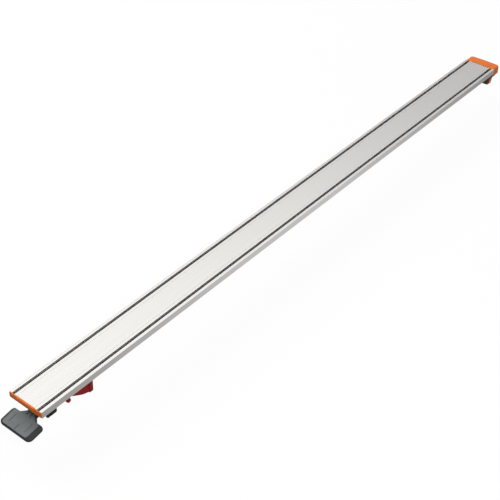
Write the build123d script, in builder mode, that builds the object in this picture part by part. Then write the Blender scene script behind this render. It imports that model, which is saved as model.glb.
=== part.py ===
from build123d import *
import os
from math import cos, pi, radians, sin, sqrt, tan

# Clamping straight-edge guide, millimetres. X runs along the rail from the lever end to the fixed
# jaw, Z is up, and the origin is the middle of the rail's top face.

# Clearances
FIT = 0.05
RUN = 0.1
SLIDE = 0.4
APART = 0.3

# Rail extrusion
RAIL_LENGTH = 1414.0
RAIL_WIDTH = 76.0
RAIL_HEIGHT = 13.2
RAIL_EDGE = 0.8
TOP_WALL = 2.4
LIP_THICKNESS = 2.4
LIP_REACH = 9.0
SLOT_EDGE = 8.6
SLOT_OPENING = 5.6
SLOT_LIP = 2.2
SLOT_CHAMBER_WIDTH = 11.4
SLOT_CHAMBER_HEIGHT = 4.2
SLOT_WEB = 1.7
GROOVE_INSET = 8.8
GROOVE_SIDE = 0.6

# Screws of the fixed jaw
SCREW_RADIUS = 1.95
SCREW_HEAD_RADIUS = 3.6
SCREW_HEAD_HEIGHT = 1.9
SCREW_REACH = 18.0
DRIVE_WIDTH = 0.8
DRIVE_SPAN = 3.6
DRIVE_DEPTH = 1.1

# Near end cap
CAP_THICKNESS = 2.0
CAP_SILL = 1.6
CAP_BLOCK_WIDTH = 42.0
CAP_BLOCK_HEIGHT = 6.6
CAP_BLOCK_DEPTH = 3.4
CAP_BLOCK_RISE = 0.9
CAP_EDGE = 1.0
PLUG_DEPTH = 5.0
PLUG_WALL = 2.4

# Jaws, both faces
JAW_DROP = 34.0
JAW_TOP_INSET = 0.6
JAW_SHOULDER_DROP = 6.4
JAW_SHOULDER = 8.0
JAW_NECK_DROP = 16.5
JAW_TAPER = 2.8
BLADE_INSET = 6.6
BLADE_TAPER = 2.0
JAW_CORNER = 3.0
JAW_WAIST_RADIUS = 8.0
PAD_INSET = 1.6
PAD_THICKNESS = 4.0
PAD_GROOVE_WIDTH = 1.2
PAD_GROOVE_DEPTH = 0.8
PAD_GROOVE_PITCH = 6.0
PAD_GROOVES = 4

# Fixed jaw
FIXED_PLATE = 10.5
FIXED_POCKET = 5.0
FIXED_DEPTH = 27.0
FIXED_CROWN = 1.5
FIXED_CORNER = 8.0
FIXED_EDGE = 4.5
FIXED_HANG = 4.4
FIXED_RIB = 4.0
FIXED_RIB_PITCH = 19.0
FIXED_RIB_FOOT = 9.0
FIXED_SEAT = 6.0
FIXED_HUMP = 16.0

# Lever pivot bracket
BRACKET_START = 6.0
BRACKET_LENGTH = 38.0
BRACKET_PLATE = 3.0
BRACKET_BRIDGE = 7.0
BRACKET_DROP = 24.2
BRACKET_FOOT_START = 12.2
BRACKET_FOOT_LENGTH = 21.6
BRACKET_CORNER = 3.0
BRACKET_SIDE = 7.0
BRACKET_CHEEK = 14.6
BOLT_RADIUS = 2.45
BOLT_HEAD_RADIUS = 4.0
BOLT_HEAD_HEIGHT = 2.6
BOLT_SOCKET = 1.5
BOLT_SOCKET_DEPTH = 1.6
BOLT_END_MARGIN = 6.5
NUT_STRIP_HEIGHT = 4.0
NUT_STRIP_MARGIN = 0.6

# Lever
PIVOT_X = 29.5
PIVOT_DROP = 17.0
PIN_RADIUS = 3.5
PIN_HEAD_RADIUS = 5.6
PIN_HEAD = 2.0
PIN_TAIL = 3.0
CLIP_RADIUS = 6.0
CLIP_THICKNESS = 1.0
SPACER_RADIUS = 6.0
LEVER_TILT = 10.0
CAM_REACH = 16.2
CAM_RATE = 4.95
CAM_HALF = 9.0
CAM_LEAD = 12.0
CAM_TRAIL = 105.0
CAM_STEPS = 13
HUB_RADIUS = 7.0
TONGUE_LENGTH = 52.0
TONGUE_WIDTH = 9.0
TONGUE_THICKNESS = 4.0
TONGUE_DROP = 4.2

# Paddle grip, measured along the lever from the pivot
GRIP_TOP = 3.0
GRIP_THICKNESS = 8.6
GRIP_FRONT = 63.5
GRIP_BACK = 29.0
GRIP_HALF = 36.6
GRIP_CORNER = 7.0
GRIP_FRONT_CORNER = 9.0
GRIP_NECK_HALF = 11.0
GRIP_FLARE_HALF = 19.0
GRIP_FLARE_RADIUS = 3.0
GRIP_FLARE_LENGTH = 7.0
GRIP_NECK_END = 12.0
GRIP_BEVEL = 1.8
GRIP_BEVEL_DROP = 4.6
GRIP_TIP = 7.6
GRIP_TIP_DROP = 5.0
GRIP_EDGE = 1.2
GRIP_LINE_HALF = 19.0
GRIP_LINE_WIDTH = 1.1
GRIP_LINE_DEPTH = 0.6
GRIP_LINE_LENGTH = 17.0
GRIP_LINE_X = 46.0
GRIP_SEAM_LENGTH = 14.0
GRIP_SLIT_HALF = 4.4
GRIP_SLIT_LENGTH = 18.0
GRIP_SCREW_RADIUS = 1.5
GRIP_SCREW_HEAD = 2.8
GRIP_SCREW_HEAD_HEIGHT = 1.2
GRIP_SCREW_NEAR = 36.0
GRIP_SCREW_PITCH = 11.0
GRIP_SCREW_REACH = 6.6

# Drive rod and its follower
ROD_RADIUS = 3.0
ROD_DROP = 8.0
ROD_END_MARGIN = 8.0
PUSH_LEG = 6.0
PUSH_BLOCK_LENGTH = 12.0
PUSH_SIDE = 3.5
PUSH_SOCKET = 9.0
PUSH_WALL = 1.6
PUSH_PIN_RADIUS = 1.5
PUSH_PIN_INSET = 4.5
SPRING_LENGTH = 16.0
SPRING_WIRE = 0.45
SPRING_TURNS = 6
GUIDE_LENGTH = 10.0
GUIDE_SCREW_RADIUS = 1.45
GUIDE_SCREW_HEAD = 2.8
GUIDE_SCREW_HEAD_HEIGHT = 1.35
GUIDE_SCREW_REACH = 6.4
FAR_GUIDE_MARGIN = 14.0

# Moving jaw, measured back from its face
JAW_OPEN = 117.0
JAW_PLATE = 7.2
JAW_PAD_PROUD = 1.0
JAW_PAD_THICKNESS = 3.0
JAW_LENGTH = 45.0
JAW_DECK = 3.6
JAW_WEB = 4.0
JAW_WEB_INSET = 0.6
JAW_WEB_TIP_DROP = 12.5
JAW_WEB_BEND_DROP = 22.5
JAW_WEB_BEND_X = 29.0
JAW_WEB_END_DROP = 30.0
JAW_WALL = 3.0
JAW_WALL_DROP = 17.0
JAW_SEAT_X = 37.0
JAW_SEAT_WALL = 3.0
JAW_SEAT_DROP = 13.6
JAW_SEAT_BOSS = 2.0
JAW_RIM = 3.0
KEY_FORWARD = 33.0
KEY_BACK = 15.4
KEY_NOSE_HEIGHT = 1.8
GLIDE_INSET = 3.0
GLIDE_LENGTH = 42.0
GLIDE_THICKNESS = 4.4
GLIDE_EDGE = 1.0

# Lock plate and release
LOCK_X = 18.2
LOCK_THICKNESS = 3.0
LOCK_SIDE = 3.0
LOCK_TOP_DROP = 3.4
LOCK_FOOT_DROP = 19.4
LOCK_CANT = 3.5
LOCK_ROOM = 1.5
LOCK_HOLE_SLACK = 0.2
LOCK_HOLE_LIFT = 0.05
LOCK_SPRING_RADIUS = 3.0
LOCK_SPRING_WIRE = 0.4
LOCK_SPRING_TURNS = 6
LOCK_SPRING_DROP = 8.0
TRIGGER_X = 12.4
TRIGGER_DROP = 8.9
TRIGGER_HUB = 3.6
TRIGGER_PIN_RADIUS = 2.0
TRIGGER_SIDE = 2.5
TRIGGER_NOSE_DROP = 18.0
TRIGGER_NOSE_RADIUS = 2.0
TRIGGER_LIMB_DROP = 23.0
TRIGGER_LIMB = 4.2
TRIGGER_LIMB_X = 27.0
TRIGGER_BAR_X = 51.8
TRIGGER_BAR_DROP = 19.0
TRIGGER_BAR_RADIUS = 4.3
TRIGGER_BAR_INSET = 0.8
TRIGGER_BAR_EDGE = 2.2
TRIGGER_RIVET_RADIUS = 3.0
TRIGGER_RIVET = 1.0

# Places that several pieces share
X_NEAR = -RAIL_LENGTH / 2
X_FAR = RAIL_LENGTH / 2
Z_UNDER = -RAIL_HEIGHT
Z_LIP = Z_UNDER + LIP_THICKNESS
Z_FOOT = Z_UNDER - JAW_DROP
SLOT_OFFSET = RAIL_WIDTH / 2 - SLOT_EDGE
SLOT_SIDES = (-SLOT_OFFSET, SLOT_OFFSET)
GROOVE_OFFSET = SLOT_OFFSET - GROOVE_INSET
CHANNEL_HALF = SLOT_OFFSET - SLOT_CHAMBER_WIDTH / 2 - SLOT_WEB
CHANNEL_HEIGHT = RAIL_HEIGHT - TOP_WALL - LIP_THICKNESS
MOUTH_WIDTH = 2 * (CHANNEL_HALF - LIP_REACH)
PORT_Z = -(SLOT_LIP + SLOT_CHAMBER_HEIGHT + RAIL_HEIGHT) / 2
LIP_MIDDLE = (MOUTH_WIDTH / 2 + CHANNEL_HALF) / 2
JAW_TOP_HALF = RAIL_WIDTH / 2 - JAW_TOP_INSET
JAW_NECK_HALF = JAW_TOP_HALF - JAW_SHOULDER
JAW_FOOT_HALF = JAW_NECK_HALF - JAW_TAPER
BLADE_HALF = RAIL_WIDTH / 2 - BLADE_INSET
BLADE_FOOT_HALF = BLADE_HALF - BLADE_TAPER
JAW_WEB_HALF = BLADE_FOOT_HALF - JAW_WEB_INSET
TRIGGER_BAR_HALF = JAW_WEB_HALF - TRIGGER_BAR_INSET
PUSH_HALF = MOUTH_WIDTH / 2 - PUSH_SIDE
LOCK_HALF = MOUTH_WIDTH / 2 - LOCK_SIDE
JAW_BAY_HALF = LOCK_HALF + LOCK_ROOM
TRIGGER_HALF = JAW_BAY_HALF - TRIGGER_SIDE
BRACKET_HALF = CHANNEL_HALF + BRACKET_PLATE
KEY_HALF = CHANNEL_HALF - RUN - GLIDE_THICKNESS
PIVOT = (X_NEAR + PIVOT_X, 0, Z_UNDER - PIVOT_DROP)
BRACKET_X = X_NEAR + BRACKET_START
BRACKET_END = BRACKET_X + BRACKET_LENGTH
BRACKET_FOOT = BRACKET_X + BRACKET_FOOT_START
BOLT_PLACES = [
    (x, side * LIP_MIDDLE)
    for x in (BRACKET_X + BOLT_END_MARGIN, BRACKET_END - BOLT_END_MARGIN)
    for side in (-1, 1)
]
X_PUSH = PIVOT[0] + CAM_REACH + APART
X_SPRING = X_PUSH + PUSH_BLOCK_LENGTH
X_NEAR_GUIDE = X_SPRING + SPRING_LENGTH
X_FAR_GUIDE = X_FAR - FAR_GUIDE_MARGIN - GUIDE_LENGTH
GUIDE_SCREW_PLACES = [
    (x + GUIDE_LENGTH / 2, side * LIP_MIDDLE)
    for x in (X_NEAR_GUIDE, X_FAR_GUIDE)
    for side in (-1, 1)
]
X_FACE = X_NEAR + JAW_OPEN
Z_DECK = Z_UNDER - SLIDE
Z_BAY = Z_DECK - JAW_DECK
LOCK_AXIS = (X_FACE - LOCK_X + RUN, 0, -LOCK_TOP_DROP - KEY_NOSE_HEIGHT / 4)
TRIGGER_AXIS = (X_FACE - TRIGGER_X, 0, Z_UNDER - TRIGGER_DROP)
X_PLATE_FRONT = X_FACE - JAW_PAD_PROUD
X_PLATE_BACK = X_PLATE_FRONT - JAW_PLATE
X_SEAT = X_FACE - JAW_SEAT_X
X_PUSH_PIN = X_SPRING - PUSH_PIN_INSET
SPRING_RADIUS = ROD_RADIUS + APART + SPRING_WIRE
SPACER_LENGTH = BRACKET_HALF - BRACKET_PLATE - RUN - CAM_HALF - APART
CAM_STEP = (CAM_LEAD + CAM_TRAIL) / (CAM_STEPS - 1)
LOCK_SLOPE = tan(radians(LOCK_CANT))
LOCK_SPRING_Z = Z_UNDER - LOCK_SPRING_DROP
X_LOCK_BACK = X_FACE - LOCK_X - LOCK_THICKNESS + LOCK_SLOPE * (LOCK_AXIS[2] - LOCK_SPRING_Z)
LOCK_SPRING_LENGTH = X_LOCK_BACK - X_SEAT - JAW_SEAT_WALL - 2 * LOCK_SPRING_WIRE - RUN - APART
TRIGGER_LIMB_Z = Z_UNDER - TRIGGER_LIMB_DROP
TRIGGER_BAR = (X_FACE - TRIGGER_BAR_X, Z_UNDER - TRIGGER_BAR_DROP)
TRIGGER_NOSE = (
    X_FACE
    - LOCK_X
    + LOCK_SLOPE * (LOCK_AXIS[2] - Z_UNDER + TRIGGER_NOSE_DROP)
    + APART
    + TRIGGER_NOSE_RADIUS,
    Z_UNDER - TRIGGER_NOSE_DROP,
)

TILT = radians(LEVER_TILT)
CANT = radians(LOCK_CANT)
CAM_PLANE = Plane(PIVOT, x_dir=(1, 0, 0), z_dir=(0, -1, 0))
LEVER_PLANE = Plane(PIVOT, x_dir=(cos(TILT), 0, sin(TILT)), z_dir=(-sin(TILT), 0, cos(TILT)))
LEVER_AXIS = Axis(PIVOT, (-sin(TILT), 0, cos(TILT)))
GRIP_SLOPE_PLANE = Plane(
    LEVER_PLANE.from_local_coords((-(GRIP_FRONT + GRIP_BACK) / 2, 0, GRIP_TOP - GRIP_TIP_DROP)),
    x_dir=LEVER_PLANE.x_dir,
    z_dir=LEVER_PLANE.z_dir,
)
LOCK_PLANE = Plane(LOCK_AXIS, x_dir=(0, 1, 0), z_dir=(cos(CANT), 0, sin(CANT)))
GRIP_SCREW_PLANES = [
    Plane(LEVER_PLANE.from_local_coords((-along, 0, GRIP_TOP - GRIP_THICKNESS)), z_dir=LEVER_PLANE.z_dir)
    for along in (GRIP_SCREW_NEAR, GRIP_SCREW_NEAR + GRIP_SCREW_PITCH)
]

LOW = (Align.CENTER, Align.CENTER, Align.MIN)
HANG = (Align.CENTER, Align.MAX)


def shield(top: float, inset: float) -> None:
    """Draw the fixed jaw's outline on the YZ plane: full rail width above, narrower towards the foot.

    Args:
        top: height of the outline's upper edge.
        inset: how far the outline stands inside the jaw's edge.
    """
    shoulder = Z_UNDER - JAW_SHOULDER_DROP
    Polygon(
        (-JAW_TOP_HALF + inset, top),
        (-JAW_TOP_HALF + inset, shoulder),
        (-JAW_NECK_HALF + inset, Z_UNDER - JAW_NECK_DROP),
        (-JAW_FOOT_HALF + inset, Z_FOOT + inset),
        (JAW_FOOT_HALF - inset, Z_FOOT + inset),
        (JAW_NECK_HALF - inset, Z_UNDER - JAW_NECK_DROP),
        (JAW_TOP_HALF - inset, shoulder),
        (JAW_TOP_HALF - inset, top),
        align=None,
    )
    levels = vertices().group_by(Axis.Y)
    fillet(levels[1] + levels[2], JAW_WAIST_RADIUS)
    fillet(vertices().group_by(Axis.Y)[0], JAW_CORNER)


def blade(top: float, inset: float) -> None:
    """Draw the moving jaw's outline on the YZ plane, which tapers evenly to the foot.

    Args:
        top: height of the outline's upper edge.
        inset: how far the outline stands inside the jaw's edge.
    """
    Polygon(
        (-BLADE_HALF + inset, top),
        (-BLADE_FOOT_HALF + inset, Z_FOOT + inset),
        (BLADE_FOOT_HALF - inset, Z_FOOT + inset),
        (BLADE_HALF - inset, top),
        align=None,
    )
    fillet(vertices().group_by(Axis.Y)[0], JAW_CORNER)


def channel_block(half: float, lift: float, below: float) -> None:
    """Draw the section that fills the rail's lower channel and its mouth.

    Args:
        half: half width inside the channel.
        lift: gap between the section's flanges and the rail's lips.
        below: height of the section's lower end in the mouth.
    """
    floor = Z_LIP + lift
    with Locations((0, -TOP_WALL - SLIDE)):
        Rectangle(2 * half, -TOP_WALL - SLIDE - floor, align=HANG)
    with Locations((0, floor)):
        Rectangle(MOUTH_WIDTH - 2 * SLIDE, floor - below, align=HANG)


def coil(start: float, end: float, z: float, radius: float, turns: int) -> list[Vector]:
    """Lay a helix along X as pairs of tangent arcs, two to each half turn.

    Args:
        start: x of the first end.
        end: x of the other end.
        z: height of the coil's axis.
        radius: radius of the wire's centre line.
        turns: number of turns.

    Returns:
        The first point and the direction in which the wire leaves it.
    """
    pitch = (end - start) / turns
    rise = pitch / (2 * pi)
    spans = 2 * turns
    places = []
    aims = []
    for index in range(spans + 1):
        angle = pi * index
        places.append(Vector(start + rise * angle, radius * cos(angle), z + radius * sin(angle)))
        aims.append(Vector(rise, -radius * sin(angle), radius * cos(angle)).normalized())
    for index in range(spans):
        chord = places[index + 1] - places[index]
        aim = aims[index] + aims[index + 1]
        spread = 2 * (1 - aims[index].dot(aims[index + 1]))
        reach = (sqrt(chord.dot(aim) ** 2 + spread * chord.dot(chord)) - chord.dot(aim)) / spread
        leave = places[index] + aims[index] * reach
        arrive = places[index + 1] - aims[index + 1] * reach
        middle = (leave + arrive) * 0.5
        TangentArc(places[index], middle, tangent=aims[index])
        TangentArc(middle, places[index + 1], tangent=(arrive - leave).normalized())
    return [places[0], aims[0]]


def coil_gap(length: float, radius: float, turns: int, wire: float) -> float:
    """Measure a coil's least gap to itself on points of its centre line.

    Args:
        length: length of the coil between its ends.
        radius: radius of the wire's centre line.
        turns: number of turns.
        wire: radius of the wire.

    Returns:
        The least gap between points at least half a turn apart, less the wire's thickness.
    """
    steps = 24
    points = []
    for index in range(turns * steps + 1):
        angle = 2 * pi * index / steps
        along = length * index / (turns * steps)
        points.append(Vector(along, radius * cos(angle), radius * sin(angle)))
    return min(
        (points[j] - points[i]).length
        for i in range(len(points))
        for j in range(i + steps // 2, len(points))
    ) - 2 * wire


def cam_point(angle: float) -> tuple[float, float]:
    """Find a point of the cam's lobe, whose reach falls evenly as it turns.

    Args:
        angle: direction of the lobe's outward normal, from +X towards -Z, in radians.

    Returns:
        The point on the cam's plane, measured from the pivot.
    """
    reach = CAM_REACH - CAM_RATE * angle
    return (
        reach * cos(angle) + CAM_RATE * sin(angle),
        CAM_RATE * cos(angle) - reach * sin(angle),
    )


with BuildPart() as rail:
    with BuildSketch(Plane.YZ.offset(X_NEAR)):
        with Locations((0, Z_UNDER / 2)):
            RectangleRounded(RAIL_WIDTH, RAIL_HEIGHT, RAIL_EDGE)
        with Locations(*[(y, 0) for y in SLOT_SIDES]):
            Rectangle(SLOT_OPENING, 2 * SLOT_LIP, mode=Mode.SUBTRACT)
        with Locations(*[(y, -SLOT_LIP) for y in SLOT_SIDES]):
            Rectangle(SLOT_CHAMBER_WIDTH, SLOT_CHAMBER_HEIGHT, align=HANG, mode=Mode.SUBTRACT)
        with Locations(*[(y, PORT_Z) for y in SLOT_SIDES]):
            Circle(SCREW_RADIUS + FIT, mode=Mode.SUBTRACT)
        with Locations((0, -TOP_WALL)):
            Rectangle(2 * CHANNEL_HALF, CHANNEL_HEIGHT, align=HANG, mode=Mode.SUBTRACT)
        with Locations((0, Z_UNDER)):
            Rectangle(MOUTH_WIDTH, 2 * LIP_THICKNESS, mode=Mode.SUBTRACT)
        with Locations((-GROOVE_OFFSET, 0), (GROOVE_OFFSET, 0)):
            Rectangle(GROOVE_SIDE, GROOVE_SIDE, rotation=45, mode=Mode.SUBTRACT)
    extrude(amount=RAIL_LENGTH)
    with Locations(*[(x, y, Z_UNDER) for x, y in BOLT_PLACES]):
        Cylinder(BOLT_RADIUS + FIT, LIP_THICKNESS, align=LOW, mode=Mode.SUBTRACT)
    with Locations(*[(x, y, Z_UNDER) for x, y in GUIDE_SCREW_PLACES]):
        Cylinder(GUIDE_SCREW_RADIUS + FIT, LIP_THICKNESS, align=LOW, mode=Mode.SUBTRACT)
        Cone(
            GUIDE_SCREW_HEAD + FIT,
            GUIDE_SCREW_RADIUS + FIT,
            GUIDE_SCREW_HEAD_HEIGHT,
            align=LOW,
            mode=Mode.SUBTRACT,
        )

with BuildPart() as near_end_cap:
    with BuildSketch(Plane.YZ.offset(X_NEAR)):
        with Locations((0, (Z_UNDER + CAP_SILL) / 2)):
            RectangleRounded(RAIL_WIDTH, RAIL_HEIGHT - CAP_SILL, 2 * CAP_EDGE)
    extrude(amount=-CAP_THICKNESS)
    fillet(near_end_cap.faces().sort_by(Axis.X)[0].edges(), CAP_EDGE)
    with BuildSketch(Plane.YZ.offset(X_NEAR)):
        with Locations((0, CAP_BLOCK_RISE)):
            Rectangle(CAP_BLOCK_WIDTH, CAP_BLOCK_HEIGHT + CAP_BLOCK_RISE, align=HANG)
    extrude(amount=-CAP_BLOCK_DEPTH)
    fillet(near_end_cap.faces().sort_by(Axis.X)[0].edges(), CAP_EDGE)
    with BuildSketch(Plane.YZ.offset(X_NEAR)):
        with Locations((0, -TOP_WALL - SLIDE)):
            Rectangle(2 * (CHANNEL_HALF - FIT), CHANNEL_HEIGHT - 2 * SLIDE, align=HANG)
        with Locations((0, -TOP_WALL - SLIDE - PLUG_WALL)):
            Rectangle(2 * (CHANNEL_HALF - PLUG_WALL), CHANNEL_HEIGHT, align=HANG, mode=Mode.SUBTRACT)
    extrude(amount=PLUG_DEPTH)

with BuildPart() as fixed_jaw:
    with BuildSketch(Plane.XY.offset(Z_UNDER - FIXED_HANG)):
        with BuildLine():
            Polyline(
                (X_FAR + FIXED_DEPTH, RAIL_WIDTH / 2),
                (X_FAR, RAIL_WIDTH / 2),
                (X_FAR, -RAIL_WIDTH / 2),
                (X_FAR + FIXED_DEPTH, -RAIL_WIDTH / 2),
            )
            ThreePointArc(
                (X_FAR + FIXED_DEPTH, -RAIL_WIDTH / 2),
                (X_FAR + FIXED_DEPTH + FIXED_CROWN, 0),
                (X_FAR + FIXED_DEPTH, RAIL_WIDTH / 2),
            )
        make_face()
        fillet(vertices().group_by(Axis.X)[-1], FIXED_CORNER)
    extrude(amount=RAIL_HEIGHT + FIXED_HANG)
    fillet(fixed_jaw.faces().sort_by(Axis.Z)[-1].edges().sort_by(Axis.X)[1:], FIXED_EDGE)
    with Locations((X_FAR, 0, Z_UNDER)):
        Box(
            PAD_THICKNESS,
            RAIL_WIDTH,
            FIXED_HANG,
            align=(Align.MIN, Align.CENTER, Align.MAX),
            mode=Mode.SUBTRACT,
        )
    with BuildSketch(Plane.XY):
        with Locations((X_FAR, 0)):
            Rectangle(FIXED_HUMP, CAP_BLOCK_WIDTH, align=(Align.MIN, Align.CENTER))
    extrude(amount=CAP_BLOCK_RISE)
    fillet(fixed_jaw.faces().sort_by(Axis.Z)[-1].edges().sort_by(Axis.X)[1:], CAP_BLOCK_RISE / 2)
    with BuildSketch(Plane.YZ.offset(X_FAR + PAD_THICKNESS)):
        shield(Z_UNDER, 0)
    extrude(amount=FIXED_PLATE)
    with Locations(
        *[
            (X_FAR + PAD_THICKNESS + FIXED_PLATE, side * FIXED_RIB_PITCH / 2, Z_UNDER - FIXED_HANG)
            for side in (-1, 1)
        ]
    ):
        Box(
            FIXED_POCKET,
            FIXED_RIB_PITCH - FIXED_RIB,
            JAW_DROP - FIXED_HANG - FIXED_RIB_FOOT,
            align=(Align.MAX, Align.CENTER, Align.MAX),
            mode=Mode.SUBTRACT,
        )
    for y in (-FIXED_RIB_PITCH, 0, FIXED_RIB_PITCH):
        with BuildSketch(Plane.XZ.offset(-y)):
            with BuildLine():
                Polyline(
                    (X_FAR + PAD_THICKNESS, Z_UNDER),
                    (X_FAR + FIXED_DEPTH - FIXED_EDGE, Z_UNDER),
                    (X_FAR + PAD_THICKNESS + FIXED_PLATE, Z_FOOT + FIXED_RIB_FOOT),
                    (X_FAR + PAD_THICKNESS, Z_FOOT + FIXED_RIB_FOOT),
                    close=True,
                )
            make_face()
        extrude(amount=FIXED_RIB / 2, both=True)
    with BuildSketch(Plane.YZ.offset(X_FAR)):
        with Locations((0, -TOP_WALL - SLIDE)):
            Rectangle(2 * (CHANNEL_HALF - SLIDE), CHANNEL_HEIGHT - 2 * SLIDE, align=HANG)
    extrude(amount=-PLUG_DEPTH)
    with Locations(*[Plane((X_FAR + FIXED_SEAT, y, PORT_Z), z_dir=(-1, 0, 0)) for y in SLOT_SIDES]):
        Cylinder(SCREW_RADIUS + FIT, FIXED_SEAT, align=LOW, mode=Mode.SUBTRACT)
        Cone(
            SCREW_HEAD_RADIUS + FIT,
            SCREW_RADIUS + FIT,
            SCREW_HEAD_HEIGHT,
            align=LOW,
            mode=Mode.SUBTRACT,
        )
    with Locations(*[Plane((X_FAR + FIXED_SEAT, y, PORT_Z), z_dir=(1, 0, 0)) for y in SLOT_SIDES]):
        Cylinder(SCREW_HEAD_RADIUS + FIT, FIXED_DEPTH, align=LOW, mode=Mode.SUBTRACT)

with BuildPart() as fixed_jaw_screws:
    with Locations(*[Plane((X_FAR + FIXED_SEAT, y, PORT_Z), z_dir=(-1, 0, 0)) for y in SLOT_SIDES]):
        Cylinder(SCREW_RADIUS, SCREW_REACH, align=LOW)
        Cone(SCREW_HEAD_RADIUS, SCREW_RADIUS, SCREW_HEAD_HEIGHT, align=LOW)
        Box(DRIVE_SPAN, DRIVE_WIDTH, DRIVE_DEPTH, align=LOW, mode=Mode.SUBTRACT)
        Box(DRIVE_WIDTH, DRIVE_SPAN, DRIVE_DEPTH, align=LOW, mode=Mode.SUBTRACT)

with BuildPart() as fixed_jaw_pad:
    with BuildSketch(Plane.YZ.offset(X_FAR)):
        shield(Z_UNDER - PAD_INSET, PAD_INSET)
    extrude(amount=PAD_THICKNESS)
    with BuildSketch(Plane.YZ.offset(X_FAR)):
        with Locations((0, (Z_UNDER + Z_FOOT) / 2)):
            with GridLocations(PAD_GROOVE_PITCH, PAD_GROOVE_PITCH, 1, PAD_GROOVES):
                Rectangle(2 * JAW_TOP_HALF, PAD_GROOVE_WIDTH)
    extrude(amount=PAD_GROOVE_DEPTH, mode=Mode.SUBTRACT)

with BuildPart() as lever_bracket:
    with BuildSketch(Plane.XZ):
        with BuildLine():
            Polyline(
                (BRACKET_X, Z_UNDER),
                (BRACKET_END, Z_UNDER),
                (BRACKET_END, Z_UNDER - BRACKET_SIDE),
                (BRACKET_FOOT + BRACKET_FOOT_LENGTH, Z_UNDER - BRACKET_CHEEK),
                (BRACKET_FOOT + BRACKET_FOOT_LENGTH, Z_UNDER - BRACKET_DROP),
                (BRACKET_FOOT, Z_UNDER - BRACKET_DROP),
                (BRACKET_FOOT, Z_UNDER - BRACKET_CHEEK),
                (BRACKET_X, Z_UNDER - BRACKET_SIDE),
                close=True,
            )
        make_face()
        fillet(vertices().group_by(Axis.Y)[0], BRACKET_CORNER)
    extrude(amount=BRACKET_HALF, both=True)
    with Locations((BRACKET_X, 0, Z_UNDER - BRACKET_PLATE)):
        Box(
            BRACKET_LENGTH,
            2 * (BRACKET_HALF - BRACKET_PLATE),
            BRACKET_DROP,
            align=(Align.MIN, Align.CENTER, Align.MAX),
            mode=Mode.SUBTRACT,
        )
    with Locations((BRACKET_X + BRACKET_BRIDGE, 0, Z_UNDER)):
        Box(
            BRACKET_LENGTH,
            MOUTH_WIDTH,
            BRACKET_PLATE,
            align=(Align.MIN, Align.CENTER, Align.MAX),
            mode=Mode.SUBTRACT,
        )
    with Locations(*[(x, y, Z_UNDER - BRACKET_PLATE) for x, y in BOLT_PLACES]):
        Cylinder(BOLT_RADIUS + FIT, BRACKET_PLATE, align=LOW, mode=Mode.SUBTRACT)
    with Locations(Plane(PIVOT, z_dir=(0, 1, 0))):
        Cylinder(PIN_RADIUS + FIT, 2 * BRACKET_HALF, mode=Mode.SUBTRACT)

with BuildPart() as nut_strips:
    with Locations(*[(BRACKET_X + BRACKET_LENGTH / 2, side * LIP_MIDDLE, Z_LIP) for side in (-1, 1)]):
        Box(
            BRACKET_LENGTH,
            CHANNEL_HALF - MOUTH_WIDTH / 2 - 2 * NUT_STRIP_MARGIN,
            NUT_STRIP_HEIGHT,
            align=LOW,
        )
    with Locations(*[(x, y, Z_LIP) for x, y in BOLT_PLACES]):
        Cylinder(BOLT_RADIUS + FIT, NUT_STRIP_HEIGHT, align=LOW, mode=Mode.SUBTRACT)

with BuildPart() as bracket_bolts:
    with Locations(*[(x, y, Z_UNDER - BRACKET_PLATE) for x, y in BOLT_PLACES]):
        Cylinder(BOLT_RADIUS, BRACKET_PLATE + LIP_THICKNESS + NUT_STRIP_HEIGHT, align=LOW)
    with Locations(*[(x, y, Z_UNDER - BRACKET_PLATE - BOLT_HEAD_HEIGHT) for x, y in BOLT_PLACES]):
        Cylinder(BOLT_HEAD_RADIUS, BOLT_HEAD_HEIGHT, align=LOW)
    with BuildSketch(Plane.XY.offset(Z_UNDER - BRACKET_PLATE - BOLT_HEAD_HEIGHT)):
        with Locations(*BOLT_PLACES):
            RegularPolygon(BOLT_SOCKET, 6)
    extrude(amount=BOLT_SOCKET_DEPTH, mode=Mode.SUBTRACT)

with BuildPart() as lever_pin:
    with Locations(Plane((PIVOT[0], -BRACKET_HALF - PIN_HEAD, PIVOT[2]), z_dir=(0, 1, 0))):
        Cylinder(PIN_HEAD_RADIUS, PIN_HEAD, align=LOW)
        Cylinder(PIN_RADIUS, PIN_HEAD + 2 * BRACKET_HALF + PIN_TAIL, align=LOW)
    chamfer(lever_pin.faces().sort_by(Axis.Y)[-1].edges(), PIN_RADIUS / 5)
    chamfer(lever_pin.faces().sort_by(Axis.Y)[0].edges(), PIN_HEAD / 3)

with BuildPart() as pin_clip:
    with Locations(Plane((PIVOT[0], BRACKET_HALF, PIVOT[2]), z_dir=(0, 1, 0))):
        Cylinder(CLIP_RADIUS, CLIP_THICKNESS, align=LOW)
        Cylinder(PIN_RADIUS + FIT, CLIP_THICKNESS, align=LOW, mode=Mode.SUBTRACT)
        Box(
            PIN_RADIUS,
            CLIP_RADIUS,
            CLIP_THICKNESS,
            align=(Align.CENTER, Align.MIN, Align.MIN),
            mode=Mode.SUBTRACT,
        )

with BuildPart() as pin_spacers:
    with Locations(
        Plane((PIVOT[0], CAM_HALF + APART, PIVOT[2]), z_dir=(0, 1, 0)),
        Plane((PIVOT[0], -CAM_HALF - APART, PIVOT[2]), z_dir=(0, -1, 0)),
    ):
        Cylinder(SPACER_RADIUS, SPACER_LENGTH, align=LOW)
        Cylinder(PIN_RADIUS + FIT, SPACER_LENGTH, align=LOW, mode=Mode.SUBTRACT)

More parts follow.
